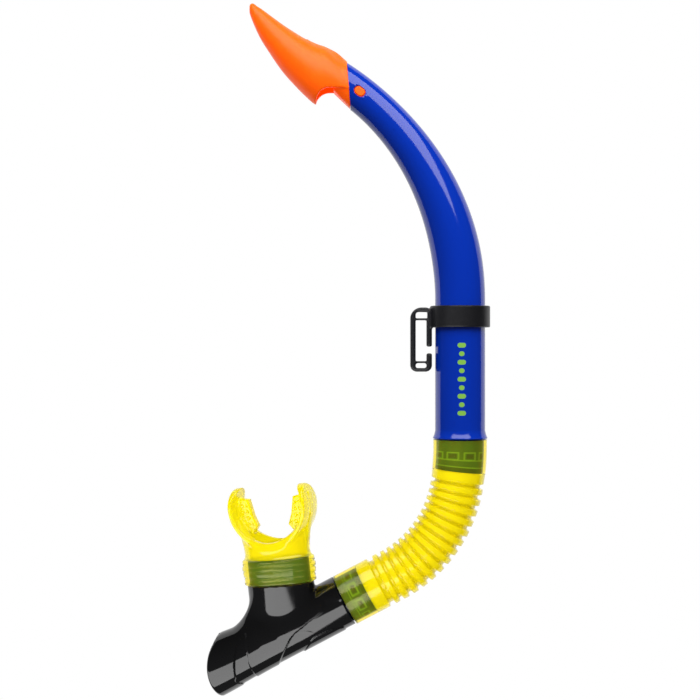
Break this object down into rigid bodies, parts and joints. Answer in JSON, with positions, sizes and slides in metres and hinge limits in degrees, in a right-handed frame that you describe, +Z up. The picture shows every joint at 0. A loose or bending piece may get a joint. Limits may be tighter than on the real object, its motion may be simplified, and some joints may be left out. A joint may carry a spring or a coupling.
{
  "type": "snorkel tube",
  "caption": "Flex snorkel with a curved barrel, splash guard, corrugated drop-away hose, purge chamber, bite mouthpiece and mask strap keeper.",
  "frame": {"origin": "middle of the keeper's mask strap slot", "axes": "+Z up along the straight part of the barrel, +X from the mouthpiece towards the barrel, Y across; the strap runs through the slot along Y"},
  "size_m": [0.1542, 0.0346, 0.3791],
  "materials": {
    "barrel_blue": "glossy moulded royal blue plastic with a small lime print",
    "guard_orange": "satin bright orange plastic",
    "chamber_black": "polished black plastic",
    "keeper_black": "satin black flexible plastic",
    "silicone_yellow": "clear yellow silicone, glossy",
    "valve_clear": "milky clear silicone"
  },
  "bodies": {
    "keeper": {"keeper_clip": "keeper_black"},
    "upper_tube": {"barrel": "barrel_blue", "splash_guard": "guard_orange"},
    "hose_top": {"hose_upper_cuff": "silicone_yellow"},
    "hose_ring_1": {"hose_segment_1": "silicone_yellow"},
    "hose_ring_2": {"hose_segment_2": "silicone_yellow"},
    "hose_ring_3": {"hose_segment_3": "silicone_yellow"},
    "hose_ring_4": {"hose_segment_4": "silicone_yellow"},
    "hose_ring_5": {"hose_segment_5": "silicone_yellow"},
    "hose_ring_6": {"hose_segment_6": "silicone_yellow"},
    "hose_tail": {"hose_lower_cuff": "silicone_yellow"},
    "lower_chamber": {"chamber": "chamber_black", "mouthpiece": "silicone_yellow", "purge_seat": "chamber_black", "purge_cover": "chamber_black"},
    "purge_flap": {"purge_diaphragm": "valve_clear"}
  },
  "joints": [
    {"name": "barrel_slide", "type": "slide", "parent": "keeper", "child": "upper_tube", "axis": [0, 0, 1], "range_m": [-0.006, 0.05]},
    {"name": "hose_swivel", "type": "hinge", "parent": "upper_tube", "child": "hose_top", "pos_m": [0.02145, 0, -0.06], "axis": [0, 0, 1], "continuous": true},
    {"name": "hose_bend_1", "type": "hinge", "parent": "hose_top", "child": "hose_ring_1", "pos_m": [0.01891, 0, -0.08288], "axis": [0, 1, 0], "range_deg": [-6, 4], "stiffness_Nm_per_rad": 2, "springref_deg": 1.39},
    {"name": "hose_bend_2", "type": "hinge", "parent": "hose_ring_1", "child": "hose_ring_2", "pos_m": [0.01603, 0, -0.09253], "axis": [0, 1, 0], "range_deg": [-6, 4], "stiffness_Nm_per_rad": 2, "springref_deg": 1.34},
    {"name": "hose_bend_3", "type": "hinge", "parent": "hose_ring_2", "child": "hose_ring_3", "pos_m": [0.01177, 0, -0.10165], "axis": [0, 1, 0], "range_deg": [-6, 4], "stiffness_Nm_per_rad": 2, "springref_deg": 1.27},
    {"name": "hose_bend_4", "type": "hinge", "parent": "hose_ring_3", "child": "hose_ring_4", "pos_m": [0.00622, 0, -0.11006], "axis": [0, 1, 0], "range_deg": [-6, 4], "stiffness_Nm_per_rad": 2, "springref_deg": 1.18},
    {"name": "hose_bend_5", "type": "hinge", "parent": "hose_ring_4", "child": "hose_ring_5", "pos_m": [-0.00051, 0, -0.11756], "axis": [0, 1, 0], "range_deg": [-6, 4], "stiffness_Nm_per_rad": 2, "springref_deg": 1.07},
    {"name": "hose_bend_6", "type": "hinge", "parent": "hose_ring_5", "child": "hose_ring_6", "pos_m": [-0.00826, 0, -0.12399], "axis": [0, 1, 0], "range_deg": [-6, 4], "stiffness_Nm_per_rad": 2, "springref_deg": 0.95},
    {"name": "hose_bend_7", "type": "hinge", "parent": "hose_ring_6", "child": "hose_tail", "pos_m": [-0.01686, 0, -0.12922], "axis": [0, 1, 0], "range_deg": [-6, 4], "stiffness_Nm_per_rad": 2, "springref_deg": 0.83},
    {"name": "chamber_swivel", "type": "hinge", "parent": "hose_tail", "child": "lower_chamber", "pos_m": [-0.04152, 0, -0.14217], "axis": [-0.8854, 0, -0.4648], "continuous": true},
    {"name": "purge_lift", "type": "slide", "parent": "lower_chamber", "child": "purge_flap", "axis": [-1, 0, 0], "range_m": [0, 0.0015], "stiffness_N_per_m": 20}
  ],
  "couplings": [
    {"joint": "hose_bend_2", "follows": "hose_bend_1", "ratio": 1},
    {"joint": "hose_bend_3", "follows": "hose_bend_1", "ratio": 1},
    {"joint": "hose_bend_4", "follows": "hose_bend_1", "ratio": 1},
    {"joint": "hose_bend_5", "follows": "hose_bend_1", "ratio": 1},
    {"joint": "hose_bend_6", "follows": "hose_bend_1", "ratio": 1},
    {"joint": "hose_bend_7", "follows": "hose_bend_1", "ratio": 1}
  ]
}
